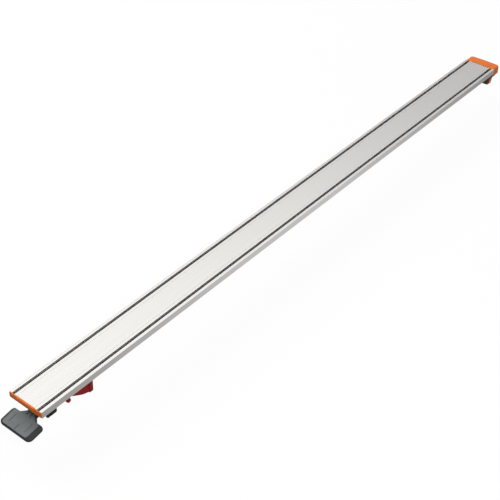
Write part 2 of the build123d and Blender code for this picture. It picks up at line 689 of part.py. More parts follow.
with BuildPart() as lever_cam:
    with BuildSketch(CAM_PLANE):
        with BuildLine():
            lobe = Spline(*[cam_point(radians(-CAM_LEAD + CAM_STEP * i)) for i in range(CAM_STEPS)])
            Polyline(lobe @ 1, (0, 0), lobe @ 0)
        make_face()
        Circle(HUB_RADIUS)
    extrude(amount=CAM_HALF, both=True)
    with BuildSketch(LEVER_PLANE.offset(-TONGUE_DROP)):
        Rectangle(TONGUE_LENGTH, TONGUE_WIDTH, align=(Align.MAX, Align.CENTER))
    extrude(amount=TONGUE_THICKNESS)
    with Locations(Plane(PIVOT, z_dir=(0, 1, 0))):
        Cylinder(PIN_RADIUS + FIT, 2 * CAM_HALF, mode=Mode.SUBTRACT)
    with Locations(*GRIP_SCREW_PLANES):
        Cylinder(GRIP_SCREW_RADIUS + FIT, GRIP_SCREW_REACH, align=LOW, mode=Mode.SUBTRACT)

with BuildPart() as grip_slopes:
    with BuildSketch(GRIP_SLOPE_PLANE):
        with Locations((0, -GRIP_HALF), (0, GRIP_HALF)):
            Rectangle(GRIP_FRONT - GRIP_BACK + 2 * GRIP_TIP, 2 * (GRIP_HALF - GRIP_FLARE_HALF))
    extrude(amount=GRIP_TIP_DROP)
    with BuildSketch(GRIP_SLOPE_PLANE):
        RectangleRounded(GRIP_FRONT - GRIP_BACK + 2 * GRIP_TIP, 2 * GRIP_HALF, GRIP_CORNER + GRIP_TIP)
    with BuildSketch(GRIP_SLOPE_PLANE.offset(GRIP_TIP_DROP)):
        RectangleRounded(GRIP_FRONT - GRIP_BACK, 2 * (GRIP_HALF - GRIP_TIP), GRIP_CORNER)
    loft(ruled=True, mode=Mode.SUBTRACT)

with BuildPart() as lever_grip:
    with BuildSketch(LEVER_PLANE.offset(GRIP_TOP - GRIP_THICKNESS)):
        with BuildLine():
            Polyline(
                (-GRIP_NECK_END, GRIP_NECK_HALF),
                (-GRIP_BACK + GRIP_FLARE_LENGTH, GRIP_NECK_HALF),
                (-GRIP_BACK, GRIP_FLARE_HALF),
                (-GRIP_BACK, GRIP_HALF),
                (-GRIP_FRONT, GRIP_HALF),
                (-GRIP_FRONT, -GRIP_HALF),
                (-GRIP_BACK, -GRIP_HALF),
                (-GRIP_BACK, -GRIP_FLARE_HALF),
                (-GRIP_BACK + GRIP_FLARE_LENGTH, -GRIP_NECK_HALF),
                (-GRIP_NECK_END, -GRIP_NECK_HALF),
                close=True,
            )
        make_face()
        rows = vertices().group_by(Axis.X)
        fillet(rows[0], GRIP_FRONT_CORNER)
        rows = vertices().filter_by_position(Axis.X, -GRIP_BACK - FIT, -GRIP_BACK + FIT).sort_by(Axis.Y)
        fillet([rows[0], rows[-1]], GRIP_CORNER)
        fillet([rows[1], rows[-2]], GRIP_FLARE_RADIUS)
    extrude(amount=GRIP_THICKNESS)
    crown = lever_grip.faces().sort_by(LEVER_AXIS)[-1]
    chamfer(crown.edges(), GRIP_BEVEL, GRIP_BEVEL_DROP, reference=crown)
    fillet(lever_grip.faces().sort_by(LEVER_AXIS)[0].edges(), GRIP_EDGE)
    add(grip_slopes.part, mode=Mode.SUBTRACT)
    with BuildSketch(LEVER_PLANE.offset(GRIP_TOP)):
        with Locations((-GRIP_LINE_X, -GRIP_LINE_HALF), (-GRIP_LINE_X, GRIP_LINE_HALF)):
            Rectangle(GRIP_LINE_LENGTH, GRIP_LINE_WIDTH)
        with Locations((-GRIP_FRONT, 0)):
            Rectangle(GRIP_SEAM_LENGTH, GRIP_LINE_WIDTH, align=(Align.MIN, Align.CENTER))
    extrude(amount=-GRIP_LINE_DEPTH, mode=Mode.SUBTRACT)
    with BuildSketch(LEVER_PLANE.offset(GRIP_TOP)):
        with Locations((-GRIP_NECK_END, -GRIP_SLIT_HALF), (-GRIP_NECK_END, GRIP_SLIT_HALF)):
            Rectangle(GRIP_SLIT_LENGTH, GRIP_LINE_WIDTH, align=(Align.MAX, Align.CENTER))
    extrude(amount=-2 * GRIP_LINE_DEPTH, mode=Mode.SUBTRACT)
    with BuildSketch(LEVER_PLANE.offset(-TONGUE_DROP - FIT)):
        Rectangle(TONGUE_LENGTH + FIT, TONGUE_WIDTH + 2 * FIT, align=(Align.MAX, Align.CENTER))
    extrude(amount=TONGUE_THICKNESS + 2 * FIT, mode=Mode.SUBTRACT)
    with Locations(*GRIP_SCREW_PLANES):
        Cylinder(GRIP_SCREW_RADIUS + FIT, GRIP_SCREW_REACH + FIT, align=LOW, mode=Mode.SUBTRACT)
        Cone(
            GRIP_SCREW_HEAD + FIT,
            GRIP_SCREW_RADIUS + FIT,
            GRIP_SCREW_HEAD_HEIGHT,
            align=LOW,
            mode=Mode.SUBTRACT,
        )

with BuildPart() as grip_screws:
    with Locations(*GRIP_SCREW_PLANES):
        Cylinder(GRIP_SCREW_RADIUS, GRIP_SCREW_REACH, align=LOW)
        Cone(GRIP_SCREW_HEAD, GRIP_SCREW_RADIUS, GRIP_SCREW_HEAD_HEIGHT, align=LOW)
        Box(GRIP_SCREW_HEAD, DRIVE_WIDTH, GRIP_SCREW_HEAD_HEIGHT / 2, align=LOW, mode=Mode.SUBTRACT)
        Box(DRIVE_WIDTH, GRIP_SCREW_HEAD, GRIP_SCREW_HEAD_HEIGHT / 2, align=LOW, mode=Mode.SUBTRACT)

with BuildPart() as drive_rod:
    with Locations(Plane((X_SPRING - PUSH_SOCKET, 0, -ROD_DROP), z_dir=(1, 0, 0))):
        Cylinder(ROD_RADIUS, X_FAR - ROD_END_MARGIN - X_SPRING + PUSH_SOCKET, align=LOW)
    chamfer(drive_rod.faces().sort_by(Axis.X)[-1].edges(), ROD_RADIUS / 4)
    with Locations(Plane((X_PUSH_PIN, 0, -ROD_DROP), z_dir=(0, 1, 0))):
        Cylinder(PUSH_PIN_RADIUS + FIT, 2 * ROD_RADIUS, mode=Mode.SUBTRACT)

with BuildPart() as push_block:
    with BuildSketch(Plane.XZ):
        with BuildLine():
            Polyline(
                (X_PUSH, PIVOT[2]),
                (X_PUSH + PUSH_LEG, PIVOT[2]),
                (X_PUSH + PUSH_LEG, Z_UNDER + SLIDE),
                (X_SPRING, Z_UNDER + SLIDE),
                (X_SPRING, -ROD_DROP + ROD_RADIUS + PUSH_WALL),
                (X_PUSH, -ROD_DROP + ROD_RADIUS + PUSH_WALL),
                close=True,
            )
        make_face()
    extrude(amount=PUSH_HALF, both=True)
    with Locations(Plane((X_SPRING, 0, -ROD_DROP), z_dir=(-1, 0, 0))):
        Cylinder(ROD_RADIUS + FIT, PUSH_SOCKET, align=LOW, mode=Mode.SUBTRACT)
    with Locations(Plane((X_PUSH_PIN, 0, -ROD_DROP), z_dir=(0, 1, 0))):
        Cylinder(PUSH_PIN_RADIUS + FIT, 2 * PUSH_HALF, mode=Mode.SUBTRACT)
    chamfer(push_block.edges().filter_by(Axis.Z).group_by(Axis.X)[0], PUSH_WALL / 2)

with BuildPart() as push_pin:
    with Locations(Plane((X_PUSH_PIN, 0, -ROD_DROP), z_dir=(0, 1, 0))):
        Cylinder(PUSH_PIN_RADIUS, 2 * PUSH_HALF)

with BuildPart() as return_spring:
    with BuildLine():
        spring_start, spring_aim = coil(
            X_SPRING + SPRING_WIRE + RUN,
            X_NEAR_GUIDE - SPRING_WIRE - RUN,
            -ROD_DROP,
            SPRING_RADIUS,
            SPRING_TURNS,
        )
    with BuildSketch(Plane(spring_start, z_dir=spring_aim)):
        Circle(SPRING_WIRE)
    sweep()

with BuildPart() as near_rod_guide:
    with BuildSketch(Plane.YZ.offset(X_NEAR_GUIDE)):
        channel_block(CHANNEL_HALF - SLIDE, 0, Z_UNDER + SLIDE)
        with Locations((0, -ROD_DROP)):
            Circle(ROD_RADIUS + RUN, mode=Mode.SUBTRACT)
    extrude(amount=GUIDE_LENGTH)
    with Locations(*[(x, y, Z_UNDER) for x, y in GUIDE_SCREW_PLACES[:2]]):
        Cylinder(GUIDE_SCREW_RADIUS + FIT, GUIDE_SCREW_REACH, align=LOW, mode=Mode.SUBTRACT)

with BuildPart() as far_rod_guide:
    with BuildSketch(Plane.YZ.offset(X_FAR_GUIDE)):
        channel_block(CHANNEL_HALF - SLIDE, 0, Z_UNDER + SLIDE)
        with Locations((0, -ROD_DROP)):
            Circle(ROD_RADIUS + RUN, mode=Mode.SUBTRACT)
    extrude(amount=GUIDE_LENGTH)
    with Locations(*[(x, y, Z_UNDER) for x, y in GUIDE_SCREW_PLACES[2:]]):
        Cylinder(GUIDE_SCREW_RADIUS + FIT, GUIDE_SCREW_REACH, align=LOW, mode=Mode.SUBTRACT)

with BuildPart() as guide_screws:
    with Locations(*[(x, y, Z_UNDER) for x, y in GUIDE_SCREW_PLACES]):
        Cylinder(GUIDE_SCREW_RADIUS, GUIDE_SCREW_REACH, align=LOW)
        Cone(GUIDE_SCREW_HEAD, GUIDE_SCREW_RADIUS, GUIDE_SCREW_HEAD_HEIGHT, align=LOW)
        Box(GUIDE_SCREW_HEAD, DRIVE_WIDTH, GUIDE_SCREW_HEAD_HEIGHT / 2, align=LOW, mode=Mode.SUBTRACT)
        Box(DRIVE_WIDTH, GUIDE_SCREW_HEAD, GUIDE_SCREW_HEAD_HEIGHT / 2, align=LOW, mode=Mode.SUBTRACT)

with BuildPart() as jaw_body:
    with BuildSketch(Plane.XZ):
        with BuildLine():
            slope = Polyline(
                (X_PLATE_FRONT, Z_DECK),
                (X_FACE - JAW_LENGTH, Z_DECK),
                (X_FACE - JAW_LENGTH, Z_UNDER - JAW_WEB_TIP_DROP),
                (X_FACE - JAW_WEB_BEND_X, Z_UNDER - JAW_WEB_BEND_DROP),
            )
            sweep_end = TangentArc(
                slope @ 1,
                (X_PLATE_BACK, Z_UNDER - JAW_WEB_END_DROP),
                tangent=slope % 1,
            )
            Polyline(sweep_end @ 1, (X_PLATE_FRONT, Z_UNDER - JAW_WEB_END_DROP), (X_PLATE_FRONT, Z_DECK))
        make_face()
    extrude(amount=JAW_WEB_HALF, both=True)
    with Locations((X_PLATE_BACK, 0, Z_BAY)):
        Box(
            JAW_LENGTH,
            2 * (JAW_WEB_HALF - JAW_WEB),
            JAW_DROP,
            align=(Align.MAX, Align.CENTER, Align.MAX),
            mode=Mode.SUBTRACT,
        )
    with BuildSketch(Plane.YZ.offset(X_PLATE_BACK)):
        blade(Z_DECK, 0)
    extrude(amount=JAW_PLATE)
    with Locations((X_PLATE_BACK, 0, Z_BAY)):
        Box(
            X_PLATE_BACK - X_SEAT,
            2 * (JAW_BAY_HALF + JAW_WALL),
            JAW_WALL_DROP - JAW_DECK - SLIDE,
            align=(Align.MAX, Align.CENTER, Align.MAX),
        )
        Box(
            X_PLATE_BACK - X_SEAT - JAW_SEAT_WALL,
            2 * JAW_BAY_HALF,
            JAW_DROP,
            align=(Align.MAX, Align.CENTER, Align.MAX),
            mode=Mode.SUBTRACT,
        )
    with Locations((X_SEAT, 0, Z_UNDER - JAW_SEAT_DROP)):
        Box(
            JAW_SEAT_WALL,
            2 * JAW_BAY_HALF,
            JAW_DROP,
            align=(Align.MIN, Align.CENTER, Align.MAX),
            mode=Mode.SUBTRACT,
        )
    with Locations(Plane((X_SEAT + JAW_SEAT_WALL, 0, LOCK_SPRING_Z), z_dir=(1, 0, 0))):
        Cylinder(LOCK_SPRING_RADIUS - LOCK_SPRING_WIRE - APART, JAW_SEAT_BOSS, align=LOW)
    with BuildSketch(Plane.YZ.offset(X_FACE - KEY_BACK)):
        channel_block(KEY_HALF, SLIDE, Z_UNDER + SLIDE)
    extrude(amount=KEY_BACK + KEY_FORWARD)
    with Locations((X_FACE - KEY_BACK, 0, Z_DECK)):
        Box(
            KEY_BACK - JAW_PAD_PROUD,
            MOUTH_WIDTH - 2 * SLIDE,
            2 * SLIDE,
            align=(Align.MIN, Align.CENTER, Align.MIN),
        )
    with Locations((X_FACE - KEY_BACK, 0, -TOP_WALL - SLIDE)):
        Box(
            X_FACE - KEY_BACK - LOCK_AXIS[0],
            2 * LOCK_HALF,
            KEY_NOSE_HEIGHT,
            align=(Align.MAX, Align.CENTER, Align.MAX),
        )
    with Locations((X_FACE - KEY_BACK, 0, Z_DECK)):
        Box(
            LOCK_X + LOCK_THICKNESS + LOCK_ROOM - KEY_BACK,
            2 * (LOCK_HALF + LOCK_ROOM),
            JAW_DECK,
            align=(Align.MAX, Align.CENTER, Align.MAX),
            mode=Mode.SUBTRACT,
        )
    with Locations(Plane((X_FACE - KEY_BACK, 0, -ROD_DROP), z_dir=(1, 0, 0))):
        Cylinder(ROD_RADIUS + APART, KEY_BACK + KEY_FORWARD, align=LOW, mode=Mode.SUBTRACT)
    with Locations(Plane(TRIGGER_AXIS, z_dir=(0, 1, 0))):
        Cylinder(TRIGGER_PIN_RADIUS + FIT, 2 * (JAW_BAY_HALF + JAW_WALL), mode=Mode.SUBTRACT)
    with BuildSketch(Plane.YZ.offset(X_PLATE_FRONT)):
        blade(Z_DECK - JAW_RIM, JAW_RIM)
    extrude(amount=JAW_PAD_PROUD - JAW_PAD_THICKNESS, mode=Mode.SUBTRACT)

with BuildPart() as jaw_pad:
    with BuildSketch(Plane.YZ.offset(X_FACE - JAW_PAD_THICKNESS)):
        blade(Z_DECK - JAW_RIM - FIT, JAW_RIM + FIT)
    extrude(amount=JAW_PAD_THICKNESS)
    with BuildSketch(Plane.YZ.offset(X_FACE)):
        with Locations((0, (Z_UNDER + Z_FOOT) / 2)):
            with GridLocations(PAD_GROOVE_PITCH, PAD_GROOVE_PITCH, 1, PAD_GROOVES):
                Rectangle(2 * JAW_TOP_HALF, PAD_GROOVE_WIDTH)
    extrude(amount=-PAD_GROOVE_DEPTH, mode=Mode.SUBTRACT)

with BuildPart() as jaw_glides:
    with Locations(
        *[
            (X_FACE - KEY_BACK + GLIDE_INSET, side * (KEY_HALF + CHANNEL_HALF - RUN) / 2, Z_LIP + RUN)
            for side in (-1, 1)
        ]
    ):
        Box(
            GLIDE_LENGTH,
            GLIDE_THICKNESS,
            CHANNEL_HEIGHT - RUN - SLIDE,
            align=(Align.MIN, Align.CENTER, Align.MIN),
        )
    chamfer(jaw_glides.edges().filter_by(Axis.Z), GLIDE_EDGE)

with BuildPart() as lock_plate:
    with BuildSketch(LOCK_PLANE.offset(-RUN)):
        with Locations((0, -LOCK_AXIS[2] - LOCK_TOP_DROP)):
            Rectangle(2 * LOCK_HALF, LOCK_FOOT_DROP + RAIL_HEIGHT - LOCK_TOP_DROP, align=HANG)
        fillet(vertices().group_by(Axis.Y)[0], JAW_CORNER)
        with Locations((0, -ROD_DROP - LOCK_AXIS[2] + LOCK_HOLE_LIFT)):
            Circle(ROD_RADIUS + LOCK_HOLE_SLACK, mode=Mode.SUBTRACT)
    extrude(amount=-LOCK_THICKNESS)

with BuildPart() as lock_spring:
    with BuildLine():
        lock_start, lock_aim = coil(
            X_SEAT + JAW_SEAT_WALL + LOCK_SPRING_WIRE + RUN,
            X_LOCK_BACK - LOCK_SPRING_WIRE - APART,
            LOCK_SPRING_Z,
            LOCK_SPRING_RADIUS,
            LOCK_SPRING_TURNS,
        )
    with BuildSketch(Plane(lock_start, z_dir=lock_aim)):
        Circle(LOCK_SPRING_WIRE)
    sweep()

with BuildPart() as release_trigger:
    with BuildSketch(Plane.XZ):
        with BuildLine():
            Polyline(
                (TRIGGER_AXIS[0] + TRIGGER_HUB, TRIGGER_AXIS[2]),
                (TRIGGER_AXIS[0] + TRIGGER_HUB, TRIGGER_LIMB_Z - TRIGGER_LIMB),
                (X_FACE - TRIGGER_LIMB_X, TRIGGER_LIMB_Z - TRIGGER_LIMB),
                (TRIGGER_BAR[0], TRIGGER_BAR[1] - TRIGGER_LIMB / 2),
                (TRIGGER_BAR[0], TRIGGER_BAR[1] + TRIGGER_LIMB / 2),
                (X_FACE - TRIGGER_LIMB_X, TRIGGER_LIMB_Z),
                (TRIGGER_NOSE[0], TRIGGER_LIMB_Z),
                TRIGGER_NOSE,
                (TRIGGER_AXIS[0] - TRIGGER_HUB, TRIGGER_AXIS[2]),
                close=True,
            )
        make_face()
        with Locations((TRIGGER_AXIS[0], TRIGGER_AXIS[2])):
            Circle(TRIGGER_HUB)
        with Locations(TRIGGER_NOSE):
            Circle(TRIGGER_NOSE_RADIUS)
    extrude(amount=TRIGGER_HALF, both=True)
    with Locations(Plane((TRIGGER_BAR[0], 0, TRIGGER_BAR[1]), z_dir=(0, 1, 0))):
        Cylinder(TRIGGER_BAR_RADIUS, 2 * TRIGGER_BAR_HALF)
    fillet(release_trigger.faces().sort_by(Axis.Y)[0].edges(), TRIGGER_BAR_EDGE)
    fillet(release_trigger.faces().sort_by(Axis.Y)[-1].edges(), TRIGGER_BAR_EDGE)
    with Locations(Plane(TRIGGER_AXIS, z_dir=(0, 1, 0))):
        Cylinder(TRIGGER_PIN_RADIUS + FIT, 2 * TRIGGER_HALF, mode=Mode.SUBTRACT)

with BuildPart() as trigger_pin:
    with Locations(Plane(TRIGGER_AXIS, z_dir=(0, 1, 0))):
        Cylinder(TRIGGER_PIN_RADIUS, 2 * (JAW_BAY_HALF + JAW_WALL))
    with Locations(
        Plane((TRIGGER_AXIS[0], JAW_BAY_HALF + JAW_WALL, TRIGGER_AXIS[2]), z_dir=(0, 1, 0)),
        Plane((TRIGGER_AXIS[0], -JAW_BAY_HALF - JAW_WALL, TRIGGER_AXIS[2]), z_dir=(0, -1, 0)),
    ):
        Cylinder(TRIGGER_RIVET_RADIUS, TRIGGER_RIVET, align=LOW)

os.makedirs("parts", exist_ok=True)

rail.part.label = "rail"
export_step(rail.part, "parts/rail.step")
near_end_cap.part.label = "near_end_cap"
export_step(near_end_cap.part, "parts/near_end_cap.step")
fixed_jaw.part.label = "fixed_jaw"
export_step(fixed_jaw.part, "parts/fixed_jaw.step")
fixed_jaw_screws.part.label = "fixed_jaw_screws"
export_step(fixed_jaw_screws.part, "parts/fixed_jaw_screws.step")
fixed_jaw_pad.part.label = "fixed_jaw_pad"
export_step(fixed_jaw_pad.part, "parts/fixed_jaw_pad.step")
lever_bracket.part.label = "lever_bracket"
export_step(lever_bracket.part, "parts/lever_bracket.step")
nut_strips.part.label = "nut_strips"
export_step(nut_strips.part, "parts/nut_strips.step")
bracket_bolts.part.label = "bracket_bolts"
export_step(bracket_bolts.part, "parts/bracket_bolts.step")
lever_pin.part.label = "lever_pin"
export_step(lever_pin.part, "parts/lever_pin.step")
pin_clip.part.label = "pin_clip"
export_step(pin_clip.part, "parts/pin_clip.step")
pin_spacers.part.label = "pin_spacers"
export_step(pin_spacers.part, "parts/pin_spacers.step")
lever_cam.part.label = "lever_cam"
export_step(lever_cam.part, "parts/lever_cam.step")
lever_grip.part.label = "lever_grip"
export_step(lever_grip.part, "parts/lever_grip.step")
grip_screws.part.label = "grip_screws"
export_step(grip_screws.part, "parts/grip_screws.step")
drive_rod.part.label = "drive_rod"
export_step(drive_rod.part, "parts/drive_rod.step")
push_block.part.label = "push_block"
export_step(push_block.part, "parts/push_block.step")
push_pin.part.label = "push_pin"
export_step(push_pin.part, "parts/push_pin.step")
return_spring.part.label = "return_spring"
export_step(return_spring.part, "parts/return_spring.step")
near_rod_guide.part.label = "near_rod_guide"
export_step(near_rod_guide.part, "parts/near_rod_guide.step")
far_rod_guide.part.label = "far_rod_guide"
export_step(far_rod_guide.part, "parts/far_rod_guide.step")
guide_screws.part.label = "guide_screws"
export_step(guide_screws.part, "parts/guide_screws.step")
jaw_body.part.label = "jaw_body"
export_step(jaw_body.part, "parts/jaw_body.step")
jaw_pad.part.label = "jaw_pad"
export_step(jaw_pad.part, "parts/jaw_pad.step")
jaw_glides.part.label = "jaw_glides"
export_step(jaw_glides.part, "parts/jaw_glides.step")
lock_plate.part.label = "lock_plate"
export_step(lock_plate.part, "parts/lock_plate.step")
lock_spring.part.label = "lock_spring"
export_step(lock_spring.part, "parts/lock_spring.step")
release_trigger.part.label = "release_trigger"
export_step(release_trigger.part, "parts/release_trigger.step")
trigger_pin.part.label = "trigger_pin"
export_step(trigger_pin.part, "parts/trigger_pin.step")

return_gap = coil_gap(SPRING_LENGTH - 2 * (SPRING_WIRE + RUN), SPRING_RADIUS, SPRING_TURNS, SPRING_WIRE)
print("return spring, least gap", round(return_gap, 3))
lock_gap = coil_gap(LOCK_SPRING_LENGTH, LOCK_SPRING_RADIUS, LOCK_SPRING_TURNS, LOCK_SPRING_WIRE)
print("lock spring, least gap", round(lock_gap, 3))
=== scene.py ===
"""Dress the clamping straight-edge guide: finishes, wound springs, rubber facings, studio and camera."""
import logging
from dataclasses import dataclass, field
from enum import Enum
from functools import cache
from math import hypot, pi, radians

import bpy
import numpy as np
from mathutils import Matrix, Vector


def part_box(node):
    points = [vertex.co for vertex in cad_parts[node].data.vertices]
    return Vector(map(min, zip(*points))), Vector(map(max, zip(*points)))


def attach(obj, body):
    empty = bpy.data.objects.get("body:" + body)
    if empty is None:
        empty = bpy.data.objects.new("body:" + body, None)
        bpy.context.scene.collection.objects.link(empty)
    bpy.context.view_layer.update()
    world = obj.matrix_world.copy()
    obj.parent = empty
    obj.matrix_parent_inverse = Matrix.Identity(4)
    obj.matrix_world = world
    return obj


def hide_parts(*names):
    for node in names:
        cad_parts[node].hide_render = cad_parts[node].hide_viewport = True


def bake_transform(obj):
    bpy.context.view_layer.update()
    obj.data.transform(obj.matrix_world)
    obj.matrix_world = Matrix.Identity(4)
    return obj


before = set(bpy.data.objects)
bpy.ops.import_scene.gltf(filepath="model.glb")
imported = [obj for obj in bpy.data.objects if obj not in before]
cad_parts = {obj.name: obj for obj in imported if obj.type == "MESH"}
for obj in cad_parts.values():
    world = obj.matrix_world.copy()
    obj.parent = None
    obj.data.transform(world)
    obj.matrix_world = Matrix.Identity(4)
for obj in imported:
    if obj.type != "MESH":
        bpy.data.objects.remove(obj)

Colour = tuple[float, float, float]
Point = tuple[float, float, float]
Socket = bpy.types.NodeSocket

LOG = logging.getLogger("guide")
MILLIMETRE = 0.001
WHITE = (1.0, 1.0, 1.0)
NOISE_ROUGHNESS = 0.55
BEVEL_SAMPLES = 4
BUMP_STRENGTH = 0.6
# Cosine between the rounded and the flat direction, on a lightened edge and on a plain face; the lightening
# stands for wear, and on the orange moulding for a painted highlight.
EDGE_TURN = (0.8, 0.99)
# Places of a Mix node's colour sockets; its sockets for other kinds of value have the same names.
COLOUR_LOW, COLOUR_HIGH, COLOUR_MIXED = 6, 7, 2


def millimetres(*lengths: float) -> tuple[float, ...]:
    """Turn lengths in millimetres into metres."""
    return tuple(length * MILLIMETRE for length in lengths)


def smooth_step(share: np.ndarray) -> np.ndarray:
    """Ease a share from zero to one: three times its square less twice its cube."""
    return share * share * (3 - 2 * share)


class Grain(Enum):
    """How a surface's noise is stretched along X, Y and Z."""

    DRAWN = (0.004, 1.0, 1.0)
    TURNED = (0.2, 1.0, 1.0)
    EVEN = (1.0, 1.0, 1.0)


class Curve(Enum):
    """How a value is carried from one range to another."""

    STRAIGHT = "LINEAR"
    SMOOTH = "SMOOTHSTEP"


class Sum(Enum):
    """Ways to work out one value from two."""

    TIMES = "MULTIPLY"
    LARGER = "MAXIMUM"
    SMALLER = "MINIMUM"


class Toward(Enum):
    """Which way a jaw's facing looks along the rail."""

    LEVER = -1
    FAR_END = 1


class Ray(Enum):
    """Kinds of ray that the floor and the dome tell apart."""

    CAMERA = "Is Camera Ray"
    MIRROR = "Is Glossy Ray"
    THROUGH = "Is Transmission Ray"


class Nodes:
    """A node tree, with short calls to add and join nodes."""

    def __init__(self, tree: bpy.types.NodeTree) -> None:
        """Work on one node tree.

        Args:
            tree: the tree of a material or of the world.
        """
        self.tree = tree

    def add(self, kind: str, **settings: object) -> bpy.types.Node:
        """Add a node and set its properties.

        Args:
            kind: the node's type, without the leading ShaderNode.
            settings: property names and their values.

        Returns:
            The new node.
        """
        node = self.tree.nodes.new("ShaderNode" + kind)
        for key, value in settings.items():
            setattr(node, key, value)
        return node

    def feed(self, node: bpy.types.Node, **sockets: object) -> bpy.types.Node:
        """Give a node's inputs their values, or link them to other nodes' outputs.

        Args:
            node: the node to feed.
            sockets: input names, with an underscore for each space, and a value or an output socket.

        Returns:
            The same node.
        """
        for key, value in sockets.items():
            target = node.inputs[key.replace("_", " ")]
            if isinstance(value, bpy.types.NodeSocket):
                self.tree.links.new(value, target)
            else:
                target.default_value = value
        return node

    def axis(self, vector: Socket, name: str) -> Socket:
        """Take one coordinate of a vector: X, Y or Z."""
        return self.feed(self.add("SeparateXYZ"), Vector=vector).outputs[name]

    def spread(
        self,
        value: Socket,
        low: float,
        high: float,
        start: float = 0.3,
        stop: float = 0.7,
        curve: Curve = Curve.STRAIGHT,
    ) -> Socket:
        """Carry a value from one range to another, and hold it at the ends.

        Args:
            value: the value to carry.
            low: result at the range's start.
            high: result at its stop.
            start: where the range starts; noise crowds round a half.
            stop: where it stops.
            curve: how the value goes between them.

        Returns:
            The carried value.
        """
        ramp = self.add("MapRange", interpolation_type=curve.value)
        self.feed(ramp, Value=value, From_Min=start, From_Max=stop, To_Min=low, To_Max=high)
        return ramp.outputs["Result"]

    def scaled(self, share: Socket, low: float, high: float) -> Socket:
        """Carry a share, from zero to one, to a range."""
        return self.spread(share, low, high, 0.0, 1.0)

    def join(self, way: Sum, first: Socket, second: Socket) -> Socket:
        """Work out one value from two.

        Args:
            way: how the two are joined.
            first: the first value.
            second: the second value.

        Returns:
            The result.
        """
        node = self.add("Math", operation=way.value)
        self.tree.links.new(first, node.inputs[0])
        self.tree.links.new(second, node.inputs[1])
        return node.outputs["Value"]

    def inside(self, value: Socket, low: float, high: float, soft: float) -> Socket:
        """Tell where a value lies between two limits.

        Args:
            value: the value, such as a height.
            low: the lower limit.
            high: the upper limit.
            soft: width of the change at each limit.

        Returns:
            One between the limits and zero outside.
        """
        rise = self.spread(value, 0.0, 1.0, low, low + soft)
        fall = self.spread(value, 1.0, 0.0, high - soft, high)
        return self.join(Sum.TIMES, rise, fall)

    def rays(self, *kinds: Ray) -> Socket:
        """Tell some kinds of ray from all the others.

        Args:
            kinds: the kinds of ray.

        Returns:
            One for those rays, and zero for the rest.
        """
        path = self.add("LightPath")
        found = path.outputs[kinds[0].value]
        for kind in kinds[1:]:
            found = self.join(Sum.LARGER, found, path.outputs[kind.value])
        return found


class Shader(Nodes):
    """One material's node tree."""

    def __init__(self, name: str) -> None:
        """Start a material whose only nodes are the surface shader and the output.

        Args:
            name: the material's name.
        """
        self.material = bpy.data.materials.new(name)
        self.material.use_nodes = True
        super().__init__(self.material.node_tree)
        self.surface = self.tree.nodes["Principled BSDF"]

    def place(self) -> Socket:
        """Give the piece's own coordinates."""
        return self.add("TexCoord").outputs["Object"]

    def noise(self, scale: float, grain: Grain, detail: float = 3.0) -> Socket:
        """Lay noise on the piece's own coordinates.

        Args:
            scale: how many waves there are in a metre.
            grain: how the waves are stretched.
            detail: how many finer layers are added.

        Returns:
            The noise's value, from 0 to 1.
        """
        stretch = self.feed(self.add("Mapping"), Vector=self.place(), Scale=grain.value)
        waves = self.feed(self.add("TexNoise"), Scale=scale, Detail=detail, Roughness=NOISE_ROUGHNESS)
        self.feed(waves, Vector=stretch.outputs["Vector"])
        return waves.outputs["Fac"]

    def tint(self, colour: Colour | Socket, amount: Socket) -> Socket:
        """Make a colour lighter and darker by a factor.

        Args:
            colour: the colour at a factor of one.
            amount: the factor.

        Returns:
            The tinted colour.
        """
        scale = self.add("VectorMath", operation="SCALE")
        self.feed(scale, Vector=colour, Scale=amount)
        return scale.outputs["Vector"]

    def blend(self, low: Colour, high: Colour, share: Socket) -> Socket:
        """Blend two colours.

        Args:
            low: the colour at a share of zero.
            high: the colour at a share of one.
            share: the share of the second colour.

        Returns:
            The blended colour.
        """
        mix = self.add("Mix", data_type="RGBA")
        self.tree.links.new(share, mix.inputs["Factor"])
        mix.inputs[COLOUR_LOW].default_value = low + (1,)
        mix.inputs[COLOUR_HIGH].default_value = high + (1,)
        return mix.outputs[COLOUR_MIXED]

    def rounded(self, radius: float) -> Socket:
        """Give the surface's direction with its edges rounded over a radius."""
        return self.feed(self.add("Bevel", samples=BEVEL_SAMPLES), Radius=radius).outputs["Normal"]

    def wear_and_highlight_edges(self, rounded: Socket) -> Socket:
        """Find the edges, where the rounded direction turns away from the flat one.

        Args:
            rounded: the direction with its edges rounded.

        Returns:
            One along the edges and zero on the faces.
        """
        turn = self.add("VectorMath", operation="DOT_PRODUCT")
        self.tree.links.new(rounded, turn.inputs[0])
        self.tree.links.new(self.add("NewGeometry").outputs["Normal"], turn.inputs[1])
        return self.spread(turn.outputs["Value"], 1.0, 0.0, *EDGE_TURN)

    def layer(self, under: Socket, over: Socket, share: Socket) -> Socket:
        """Mix two shaders.

        Args:
            under: the shader at a share of zero.
            over: the shader at a share of one.
            share: the share of the second shader.

        Returns:
            The mixed shader.
        """
        mix = self.feed(self.add("MixShader"), Fac=share)
        self.tree.links.new(under, mix.inputs[1])
        self.tree.links.new(over, mix.inputs[2])
        return mix.outputs["Shader"]


